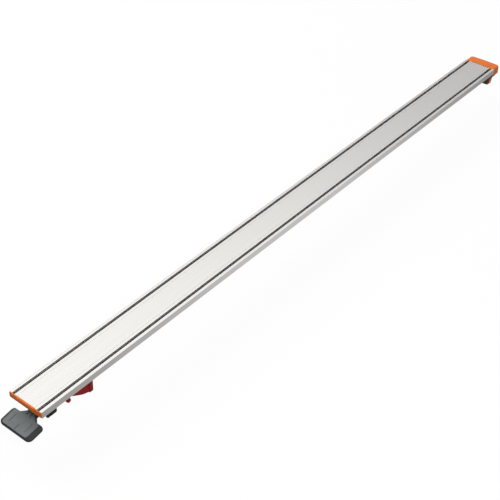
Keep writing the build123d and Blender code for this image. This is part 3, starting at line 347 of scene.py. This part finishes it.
@dataclass(frozen=True)
class Finish:
    """A surface finish: its colour and gloss, with the patches, grain and lightened edges that break them up;
    the edges stand for wear, and on the orange moulding for a painted highlight.
    """

    name: str
    colour: Colour
    roughness: float
    metallic: float = 0.0
    specular: float = 0.5
    grain: Grain = Grain.EVEN
    grain_pitch: float = 0.5 * MILLIMETRE
    relief: float = 0.02 * MILLIMETRE
    patch_pitch: float = 18 * MILLIMETRE
    patch_shade: float = 0.06
    patch_detail: float = 2.0
    gloss_swing: float = 0.06
    edge: float = 0.5 * MILLIMETRE
    edge_wear_and_highlight: float = 0.2

    def shade(self, shader: Shader) -> Socket:
        """Make the colour's factor over the faces: slow patches round one.

        Args:
            shader: the shader to add to.

        Returns:
            The factor.
        """
        patches = shader.noise(1 / self.patch_pitch, self.grain, self.patch_detail)
        return shader.spread(patches, 1 - self.patch_shade, 1 + self.patch_shade)

    def tone(self, shader: Shader, shade: Socket) -> Socket:
        """Make the colour from its factor.

        Args:
            shader: the shader to add to.
            shade: the colour's factor.

        Returns:
            The colour.
        """
        return shader.tint(self.colour, shade)

    def shader(self) -> Shader:
        """Lay out the finish's nodes.

        Returns:
            The shader: patches and lightened edges (wear, and on the orange a painted highlight) tint the
                colour, and the grain swings gloss and relief.
        """
        shader = Shader(self.name)
        rounded = shader.rounded(self.edge)
        edge = shader.scaled(shader.wear_and_highlight_edges(rounded), 1.0, 1 + self.edge_wear_and_highlight)
        shade = shader.join(Sum.TIMES, self.shade(shader), edge)
        grain = shader.noise(1 / self.grain_pitch, self.grain)
        low, high = self.roughness - self.gloss_swing, self.roughness + self.gloss_swing
        bump = shader.feed(shader.add("Bump"), Strength=BUMP_STRENGTH, Distance=self.relief)
        shader.feed(bump, Height=grain, Normal=rounded)
        shader.feed(
            shader.surface,
            Base_Color=self.tone(shader, shade),
            Roughness=shader.spread(grain, low, high),
            Metallic=self.metallic,
            Specular_IOR_Level=self.specular,
            Normal=bump.outputs["Normal"],
        )
        return shader

    @cache
    def material(self) -> bpy.types.Material:
        """Make the finish's material, once."""
        return self.shader().material


@dataclass(frozen=True)
class DrawnAluminium(Finish):
    """A satin extrusion: die lines run along it, and the hollows inside its walls are darkened with painted
    shade.
    """

    wall: float = 0.6 * MILLIMETRE
    half_width: float = 38 * MILLIMETRE
    height: float = 13.2 * MILLIMETRE
    painted_hollow_shade: float = 0.85

    def shade(self, shader: Shader) -> Socket:
        """Make the colour's factor: faint long streaks, and painted shade inside slots and channel.

        Args:
            shader: the shader to add to.

        Returns:
            The factor.
        """
        streaks = super().shade(shader)
        place = shader.place()
        deep = shader.inside(shader.axis(place, "Z"), self.wall - self.height, -self.wall, self.wall / 2)
        inner = self.half_width - self.wall
        within = shader.inside(shader.axis(place, "Y"), -inner, inner, self.wall / 2)
        # Painted shade: the slots and channel are darkened where shade falls inside them.
        shaded_hollow = shader.join(Sum.TIMES, deep, within)
        return shader.join(Sum.TIMES, streaks, shader.scaled(shaded_hollow, 1.0, self.painted_hollow_shade))


@dataclass(frozen=True)
class SideShadedMoulding(Finish):
    """A moulded grip whose faces turning from upright, in its own coordinates, are darkened with painted shade.
    """

    painted_side_shade: float = 0.25
    side_up: float = 0.86
    top_up: float = 0.95

    def shade(self, shader: Shader) -> Socket:
        """Make the colour's factor: slow patches, and painted shade where the piece's own surface turns from
        upright.

        Args:
            shader: the shader to add to.

        Returns:
            The factor.
        """
        # Painted shade: sides and slopes are darkened to the side factor, and the top stays full.
        upright = shader.axis(shader.add("TexCoord").outputs["Normal"], "Z")
        top = shader.spread(upright, self.painted_side_shade, 1.0, self.side_up, self.top_up)
        return shader.join(Sum.TIMES, super().shade(shader), top)


@dataclass(frozen=True)
class PlatedSteel(Finish):
    """Bright plated steel, whose thin clear coat turns faintly warm and cool over its surface."""

    warm: Colour = (0.60, 0.57, 0.50)
    cloud_patches: float = 3.0

    def tone(self, shader: Shader, shade: Socket) -> Socket:
        """Make the colour: warm and cool clouds, each lightened by the factor.

        Args:
            shader: the shader to add to.
            shade: the colour's factor.

        Returns:
            The colour.
        """
        noise = shader.noise(1 / (self.cloud_patches * self.patch_pitch), Grain.EVEN)
        clouds = shader.spread(noise, 0.0, 1.0)
        return shader.tint(shader.blend(self.colour, self.warm, clouds), shade)


@dataclass(frozen=True)
class DustyRubber(Finish):
    """Matte rubber with a fine grain, and a little pale dust in patches."""

    dust: Colour = (0.10, 0.085, 0.08)
    dust_share: float = 0.5
    dust_pitch: float = 9 * MILLIMETRE
    dust_detail: float = 6.0
    dust_start: float = 0.45
    dust_stop: float = 0.75

    def tone(self, shader: Shader, shade: Socket) -> Socket:
        """Make the colour: bare rubber with clouds of dust on it, lightened by the factor.

        Args:
            shader: the shader to add to.
            shade: the colour's factor.

        Returns:
            The colour.
        """
        noise = shader.noise(1 / self.dust_pitch, Grain.EVEN, self.dust_detail)
        clouds = shader.spread(noise, 0.0, self.dust_share, self.dust_start, self.dust_stop)
        return shader.tint(shader.blend(self.colour, self.dust, clouds), shade)


ALUMINIUM = DrawnAluminium(
    "satin_aluminium",
    (0.57, 0.557, 0.543),
    0.31,
    metallic=1.0,
    grain=Grain.DRAWN,
    grain_pitch=0.7 * MILLIMETRE,
    relief=0.004 * MILLIMETRE,
    patch_pitch=5 * MILLIMETRE,
    patch_shade=0.02,
    gloss_swing=0.03,
    edge=0.3 * MILLIMETRE,
    edge_wear_and_highlight=0.1,
)
# The orange's edges are lightened by 0.6 as a painted highlight along the moulding's edges.
ORANGE = Finish(
    "glossy_orange", (0.74, 0.17, 0.018), 0.4, specular=0.2, edge=0.8 * MILLIMETRE, edge_wear_and_highlight=0.6
)
# A darker, redder copy of the orange moulding for the sliding jaw and its trigger: painted shade for the shade
# under the rail.
SHADED_RED = Finish("red_in_painted_shade", (0.3, 0.011, 0.008), 0.42, specular=0.1, edge_wear_and_highlight=0.25)
GREY = SideShadedMoulding(
    "grey_with_painted_side_shade",
    (0.164, 0.178, 0.178),
    0.52,
    specular=0.15,
    grain_pitch=0.7 * MILLIMETRE,
    relief=0.05 * MILLIMETRE,
    edge_wear_and_highlight=0.35,
)
BLACK_PAINT = Finish(
    "black_powder_coat",
    (0.012, 0.012, 0.011),
    0.42,
    specular=0.15,
    grain_pitch=1.3 * MILLIMETRE,
    relief=0.06 * MILLIMETRE,
    edge_wear_and_highlight=0.8,
)
ZINC = PlatedSteel(
    "zinc_plate",
    (0.58, 0.59, 0.61),
    0.3,
    metallic=1.0,
    grain=Grain.TURNED,
    grain_pitch=0.4 * MILLIMETRE,
    relief=0.005 * MILLIMETRE,
    patch_pitch=9 * MILLIMETRE,
    edge=0.25 * MILLIMETRE,
)
ROD_STEEL = PlatedSteel(
    "drawn_rod",
    (0.52, 0.53, 0.55),
    0.26,
    metallic=1.0,
    grain=Grain.DRAWN,
    grain_pitch=0.5 * MILLIMETRE,
    relief=0.004 * MILLIMETRE,
    patch_pitch=7 * MILLIMETRE,
    edge=0.25 * MILLIMETRE,
)
SPRING_STEEL = PlatedSteel(
    "spring_wire",
    (0.40, 0.41, 0.44),
    0.28,
    metallic=1.0,
    grain_pitch=0.3 * MILLIMETRE,
    relief=0.004 * MILLIMETRE,
    patch_pitch=4 * MILLIMETRE,
    edge=0.05 * MILLIMETRE,
    warm=(0.42, 0.38, 0.33),
)
RUBBER = DustyRubber("dusty_rubber", (0.065, 0.046, 0.043), 0.78, specular=0.3, edge_wear_and_highlight=0.4)
NYLON = Finish("dull_nylon", (0.025, 0.025, 0.027), 0.48)


def grid_piece(name: str, points: np.ndarray, round_columns: bool) -> bpy.types.Object:
    """Make a closed mesh from a grid of points, with one flat face at each open end.

    Each square of the grid is a face. Where the columns go round, the last column joins the first and the
    first and last rows are closed by one face each. Otherwise the grid's rim is closed by one face.

    Args:
        name: the piece's name.
        points: the grid, rows by columns by three.
        round_columns: whether the columns go round.

    Returns:
        The new object, with its place in its mesh.
    """
    rows, columns = points.shape[:2]
    index = np.arange(rows * columns).reshape(rows, columns)
    if round_columns:
        wrapped = np.column_stack([index, index[:, :1]])
        ends = [index[0, ::-1].tolist(), index[-1].tolist()]
    else:
        wrapped = index
        ends = [np.concatenate([index[:, 0], index[-1, 1:], index[-2::-1, -1], index[0, -2:0:-1]]).tolist()]
    corners = (wrapped[:-1, :-1], wrapped[:-1, 1:], wrapped[1:, 1:], wrapped[1:, :-1])
    squares = np.stack(corners, axis=-1).reshape(-1, 4)
    mesh = bpy.data.meshes.new(name)
    mesh.from_pydata(points.reshape(-1, 3).tolist(), [], squares.tolist() + ends)
    smooth = np.ones(len(mesh.polygons), bool)
    smooth[len(squares):] = False
    mesh.polygons.foreach_set("use_smooth", smooth)
    mesh.validate()
    piece = bpy.data.objects.new(name, mesh)
    bpy.context.scene.collection.objects.link(piece)
    return piece


@dataclass
class CoilSpring:
    """A wound wire spring along X, with a closed turn at each end."""

    node: str
    slot: str
    bodies: tuple[str, str]
    wire: float
    first_end_high: bool
    open_turns: float = 6.0
    closed_turns: float = 1.0
    closed_pitch: float = 2.1
    ease_start: float = 0.75
    ease_length: float = 0.5
    steps: int = 48
    sides: int = 14

    def surface(self, low: Point, high: Point) -> np.ndarray:
        """Carry the wire's circle along a helix whose pitch eases from closed end turns to open ones.

        The pitch at each step is the closed pitch, a multiple of the wire's radius, plus the open part times
        a smooth rise and fall over the end turns. Its running sum, scaled to the spring's length, is the
        place along X. The circle stands on the helix's radius and the direction across it.

        Args:
            low: lowest corner of the spring's box.
            high: highest corner of the spring's box.

        Returns:
            The grid of points, steps along the wire by points round it.
        """
        turns = self.open_turns + 2 * self.closed_turns
        turn = np.linspace(0, turns, int(turns * self.steps) + 1)
        from_end = np.minimum(turn, turns - turn)
        past = from_end - self.closed_turns * self.ease_start
        opening = smooth_step(np.clip(past / (self.closed_turns * self.ease_length), 0, 1))
        length = high[0] - low[0] - 2 * self.wire
        closed = self.closed_pitch * self.wire
        step = turn[1] - turn[0]
        middle = (opening[1:] + opening[:-1]) / 2
        extra = (length - closed * turns) / (middle.sum() * step)
        along = np.concatenate([[0], np.cumsum((closed + extra * middle) * step)])
        radius = (high[1] - low[1]) / 2 - self.wire
        angle = 2 * pi * turn
        zero = np.zeros_like(angle)
        outward = np.stack([zero, np.cos(angle), np.sin(angle)], axis=1)
        centre = np.array([low[0] + self.wire, (low[1] + high[1]) / 2, (low[2] + high[2]) / 2])
        path = centre + radius * outward
        path[:, 0] += along
        aim = np.gradient(path, axis=0)
        aim /= np.linalg.norm(aim, axis=1, keepdims=True)
        across = np.cross(aim, outward)
        turn_round = 2 * pi * np.arange(self.sides) / self.sides
        return path[:, None] + self.wire * (
            np.cos(turn_round)[:, None] * outward[:, None] + np.sin(turn_round)[:, None] * across[:, None]
        )

    def build(self) -> None:
        """Wind the spring in its node's place."""
        low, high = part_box(self.node)
        points = self.surface(tuple(low), tuple(high))
        piece = grid_piece(self.node + "_wound", points, round_columns=True)
        piece.data.materials.append(SPRING_STEEL.material())
        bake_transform(piece)
        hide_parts(self.node)
        LOG.info("%s wound, %d faces", piece.name, len(piece.data.polygons))


@dataclass
class Facing:
    """A ribbed rubber facing on a jaw, with rounded edges and cross grooves."""

    node: str
    body: str
    toward: Toward
    levels: tuple[float, ...]
    halves: tuple[float, ...]
    corner: float = 3.0 * MILLIMETRE
    edge: float = 0.7 * MILLIMETRE
    groove_pitch: float = 6.0 * MILLIMETRE
    groove_width: float = 1.7 * MILLIMETRE
    groove_depth: float = 0.8 * MILLIMETRE
    grooves: int = 4
    groove_middle: float = -30.2 * MILLIMETRE
    rows: int = 170
    columns: int = 40
    lip_steps: int = 6

    def half(self, height: np.ndarray) -> np.ndarray:
        """Find the outline's half width: eased between its levels, and drawn in round the lower corners.

        Between two levels the half width goes by a smooth step. Within a corner's radius of the lower edge
        it is less by the radius minus the circle's half chord at that height.

        Args:
            height: the heights.

        Returns:
            The half widths.
        """
        levels, halves = np.array(self.levels)[::-1], np.array(self.halves)[::-1]
        span = np.clip(np.searchsorted(levels, height) - 1, 0, len(levels) - 2)
        share = np.clip((height - levels[span]) / (levels[span + 1] - levels[span]), 0, 1)
        half = halves[span] + (halves[span + 1] - halves[span]) * smooth_step(share)
        short = np.clip(levels[0] + self.corner - height, 0, self.corner)
        return half - self.corner + np.sqrt(self.corner**2 - short**2)

    def groove(self, height: np.ndarray) -> np.ndarray:
        """Find the grooves' depth: one raised cosine across each groove's width.

        Args:
            height: the heights.

        Returns:
            The depths.
        """
        index = np.arange(self.grooves) - (self.grooves - 1) / 2
        away = np.abs(height[:, None] - self.groove_middle - index * self.groove_pitch) / self.groove_width
        return self.groove_depth * (0.5 + 0.5 * np.cos(2 * pi * np.minimum(away, 0.5))).max(axis=1)

    def surface(self, low: Point, high: Point) -> np.ndarray:
        """Spread the facing over its heights and, at each, over the outline's width.

        The face is drawn in at its rim by a quarter circle: a point's drop below the face is the edge radius
        less the root of that radius squared minus the squares of how far it stands into the rim along the
        height and across. Grooves add to the drop, and the rim itself goes down to the back.

        Args:
            low: lowest corner of the facing's box.
            high: highest corner of the facing's box.

        Returns:
            The grid of points, heights by places across.
        """
        bend = np.linspace(0, pi / 2, self.lip_steps)
        lip = self.edge * (1 - np.cos(bend))
        flat = np.linspace(self.edge, high[2] - low[2] - self.edge, self.rows)[1:-1]
        down = np.concatenate([[0], lip, flat, (high[2] - low[2] - lip)[::-1], [high[2] - low[2]]])
        into_row = np.clip(self.edge - np.minimum(down, down[::-1]), 0, None)
        height = high[2] - down
        inset = np.concatenate([[0], lip, np.full(self.columns, self.edge), lip[::-1], [0]])
        rim = np.ones(self.lip_steps + 1)
        side = np.concatenate([-rim, np.linspace(-1, 1, self.columns + 2)[1:-1], rim])
        across = side * (self.half(height)[:, None] - inset)
        into_column = self.edge - inset
        left = np.clip(self.edge**2 - into_row[:, None] ** 2 - into_column**2, 0, None)
        drop = self.edge - np.sqrt(left) + self.groove(height)[:, None]
        thickness = high[0] - low[0]
        drop[[0, -1]] = thickness
        drop[:, [0, -1]] = thickness
        outward = self.toward is Toward.FAR_END
        face = high[0] if outward else low[0]
        tall = np.broadcast_to(height[:, None], across.shape)
        points = np.stack([face - self.toward.value * drop, across, tall], axis=-1)
        return points if outward else points[:, ::-1]

    def build(self) -> None:
        """Mould the facing in its node's place."""
        low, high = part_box(self.node)
        points = self.surface(tuple(low), tuple(high))
        piece = grid_piece(self.node + "_ribbed", points, round_columns=False)
        piece.data.materials.append(RUBBER.material())
        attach(piece, self.body)
        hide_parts(self.node)
        LOG.info("%s moulded, %d faces", piece.name, len(piece.data.polygons))


@dataclass
class Assembly:
    """Pieces that are dressed together, with the finish of each."""

    title: str
    finishes: tuple[tuple[Finish, tuple[str, ...]], ...]

    def build(self) -> None:
        """Dress the solid pieces that keep their shape."""
        for finish, names in self.finishes:
            for name in names:
                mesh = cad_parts[name].data
                mesh.materials.clear()
                mesh.materials.append(finish.material())
                LOG.info("%s: %s dressed in %s", self.title, name, finish.name)


@dataclass
class FixedEnd(Assembly):
    """The far moulding with its screws and its rubber facing."""

    facing: Facing = field(
        default_factory=lambda: Facing(
            "fixed_jaw_pad",
            "frame",
            Toward.LEVER,
            millimetres(-14.8, -18.0, -31.0, -45.6),
            millimetres(35.7, 35.7, 27.6, 24.9),
        )
    )

    def build(self) -> None:
        """Dress the moulding and face it."""
        super().build()
        self.facing.build()


@dataclass
class Drive(Assembly):
    """The rod with its follower, guides and return spring."""

    spring: CoilSpring = field(
        default_factory=lambda: CoilSpring(
            "return_spring", "steel", ("frame", "rod"), 0.45 * MILLIMETRE, first_end_high=True
        )
    )

    def build(self) -> None:
        """Dress the rod's pieces and wind its spring."""
        super().build()
        self.spring.build()


@dataclass
class SlidingJaw(Assembly):
    """The moving jaw with its lock, release and facing."""

    facing: Facing = field(
        default_factory=lambda: Facing(
            "jaw_pad",
            "jaw",
            Toward.FAR_END,
            millimetres(-16.7, -44.2),
            millimetres(28.2, 26.2),
        )
    )
    spring: CoilSpring = field(
        default_factory=lambda: CoilSpring(
            "lock_spring", "steel", ("jaw", "lock"), 0.4 * MILLIMETRE, first_end_high=False
        )
    )

    def build(self) -> None:
        """Dress the jaw, face it and wind the lock's spring."""
        super().build()
        self.facing.build()
        self.spring.build()


@dataclass(frozen=True)
class Lamp:
    """A soft square lamp that mirrors don't show."""

    name: str
    place: Point
    target: Point
    size: float
    watts: float

    def build(self) -> None:
        """Hang the lamp and turn it to its target."""
        data = bpy.data.lights.new(self.name, "AREA")
        data.size = self.size
        data.energy = self.watts
        lamp = bpy.data.objects.new(self.name, data)
        lamp.location = self.place
        lamp.rotation_euler = (Vector(self.target) - Vector(self.place)).to_track_quat("-Z", "Y").to_euler()
        lamp.visible_glossy = False
        bpy.context.scene.collection.objects.link(lamp)


@dataclass(frozen=True)
class Camera:
    """The camera at the photograph's viewing angle.

    The heading, from +X towards +Y, and the pitch, downwards, are in degrees. The lens and the sensor's width
    are in millimetres.
    """

    place: Point = (-1.4314, -1.0638, 1.2978)
    heading: float = 39.583
    pitch: float = 38.624
    lens: float = 80.13
    sensor: float = 36.0
    reach: float = 100.0

    def build(self) -> None:
        """Set the camera up and make it the scene's own."""
        data = bpy.data.cameras.new("camera")
        data.lens = self.lens
        data.sensor_width = self.sensor
        data.clip_end = self.reach
        camera = bpy.data.objects.new("camera", data)
        camera.rotation_euler = (radians(90 - self.pitch), 0, radians(self.heading - 90))
        camera.location = self.place
        bpy.context.scene.collection.objects.link(camera)
        bpy.context.scene.camera = camera


@dataclass
class Studio:
    """Pale floor, a soft dome of light with a bright band, a key and a fill lamp, and the camera.

    The pool is a stretch of the floor along X that mirrors show brighter. The dome's start, stop, fade and top
    are sines of the angle above the horizon: the band rises between the first two and falls between the others.
    """

    floor_height: float
    floor_half: float = 30.0
    floor_shown: float = 0.9
    floor_bounce: float = 0.25
    floor_lift: float = 0.93
    floor_roughness: float = 0.9
    pool_place: float = 0.03
    pool_half: float = 0.83
    pool_soft: float = 0.65
    pool_bright: float = 0.93
    pool_dim: float = 0.44
    dome_low: float = 0.545
    dome_high: float = 2.0
    dome_start: float = 0.54
    dome_stop: float = 0.62
    dome_fade: float = 0.8
    dome_top: float = 0.95
    dome_zenith: float = 0.95
    dome_share: float = 0.385
    lamps: tuple[Lamp, ...] = (
        Lamp("key", (-0.1, 2.6, 2.2), (-0.2, 0, 0), 2.0, 70),
        Lamp("fill", (-1.3, -1.8, 2.2), (-0.1, 0, 0), 1.0, 36),
    )
    camera: Camera = Camera()

    def floor_shader(self) -> Shader:
        """Lay out the floor's nodes.

        Returns:
            The shader: nearly white with a faint shadow, a pool of light in mirrors, and clear from below.
        """
        shader = Shader("floor")
        seen = shader.rays(Ray.CAMERA)
        mirrored = shader.rays(Ray.MIRROR, Ray.THROUGH)
        shade = shader.scaled(seen, self.floor_bounce, self.floor_shown)
        shader.feed(shader.surface, Base_Color=shader.tint(WHITE, shade), Roughness=self.floor_roughness)
        along = shader.axis(shader.place(), "X")
        start, stop = self.pool_place - self.pool_half, self.pool_place + self.pool_half
        lit = shader.inside(along, start, stop, self.pool_soft)
        pool = shader.scaled(lit, self.pool_dim, self.pool_bright)
        glow = shader.join(Sum.LARGER, seen, shader.join(Sum.TIMES, mirrored, pool))
        white = shader.feed(shader.add("Emission"), Strength=glow).outputs["Emission"]
        lift = shader.join(Sum.LARGER, shader.scaled(seen, 0.0, self.floor_lift), mirrored)
        upper = shader.layer(shader.surface.outputs["BSDF"], white, lift)
        clear = shader.add("BsdfTransparent").outputs["BSDF"]
        whole = shader.layer(upper, clear, shader.add("NewGeometry").outputs["Backfacing"])
        shader.feed(shader.tree.nodes["Material Output"], Surface=whole)
        return shader

    def floor(self) -> None:
        """Lay the floor, one square that faces up."""
        corners = np.array([(-1, -1, 0), (1, -1, 0), (1, 1, 0), (-1, 1, 0)], float) * self.floor_half
        corners[:, 2] = self.floor_height
        mesh = bpy.data.meshes.new("floor")
        mesh.from_pydata(corners.tolist(), [], [(0, 1, 2, 3)])
        mesh.materials.append(self.floor_shader().material)
        floor = bpy.data.objects.new("floor", mesh)
        bpy.context.scene.collection.objects.link(floor)

    def world(self) -> None:
        """Surround the guide with a dome: white to the eye, with a bright band in mirrors and as light."""
        world = bpy.data.worlds.new("studio")
        world.use_nodes = True
        nodes = Nodes(world.node_tree)
        height = nodes.axis(nodes.add("TexCoord").outputs["Generated"], "Z")
        rise = nodes.spread(
            height, self.dome_low, self.dome_high, self.dome_start, self.dome_stop, Curve.SMOOTH
        )
        fall = nodes.spread(
            height, self.dome_high, self.dome_zenith, self.dome_fade, self.dome_top, Curve.SMOOTH
        )
        share = nodes.scaled(nodes.rays(Ray.MIRROR, Ray.THROUGH), self.dome_share, 1.0)
        light = nodes.join(Sum.TIMES, nodes.join(Sum.SMALLER, rise, fall), share)
        seen = nodes.feed(nodes.add("Mix"), Factor=nodes.rays(Ray.CAMERA), A=light, B=1.0)
        backdrop = nodes.tree.nodes["Background"]
        nodes.feed(backdrop, Color=WHITE + (1,), Strength=seen.outputs["Result"])
        bpy.context.scene.world = world

    def build(self) -> None:
        """Put up the whole studio."""
        self.floor()
        self.world()
        for lamp in self.lamps:
            lamp.build()
        self.camera.build()
        bpy.context.scene.view_settings.view_transform = "Standard"
        LOG.info("studio built")


def lever_reach() -> float:
    """Find the lowest height that the grip's tip passes as the lever swings round its pin.

    Returns:
        The pin's height less the distance from the pin to the grip's farthest lower corner.
    """
    pin = sum(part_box("lever_pin"), Vector()) / 2
    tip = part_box("lever_grip")[0]
    return pin.z - hypot(pin.x - tip.x, pin.z - tip.z)


def main() -> None:
    """Dress the guide and light it."""
    logging.basicConfig(level=logging.INFO, format="%(message)s")
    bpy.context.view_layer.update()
    Assembly("rail", ((ALUMINIUM, ("rail",)), (ORANGE, ("near_end_cap",)))).build()
    FixedEnd("fixed end", ((ORANGE, ("fixed_jaw",)), (BLACK_PAINT, ("fixed_jaw_screws",)))).build()
    Assembly(
        "lever mount",
        (
            (BLACK_PAINT, ("lever_bracket", "lever_pin", "pin_clip")),
            (ZINC, ("nut_strips", "bracket_bolts", "pin_spacers")),
        ),
    ).build()
    Assembly("lever", ((GREY, ("lever_grip",)), (ZINC, ("lever_cam", "grip_screws")))).build()
    Drive(
        "drive",
        (
            (ROD_STEEL, ("drive_rod",)),
            (ZINC, ("push_block", "push_pin", "guide_screws")),
            (NYLON, ("near_rod_guide", "far_rod_guide")),
        ),
    ).build()
    SlidingJaw(
        "sliding jaw",
        (
            (SHADED_RED, ("jaw_body", "release_trigger")),
            (ZINC, ("lock_plate", "trigger_pin")),
            (NYLON, ("jaw_glides",)),
        ),
    ).build()
    Studio(lever_reach()).build()


if __name__ == "__main__":
    main()
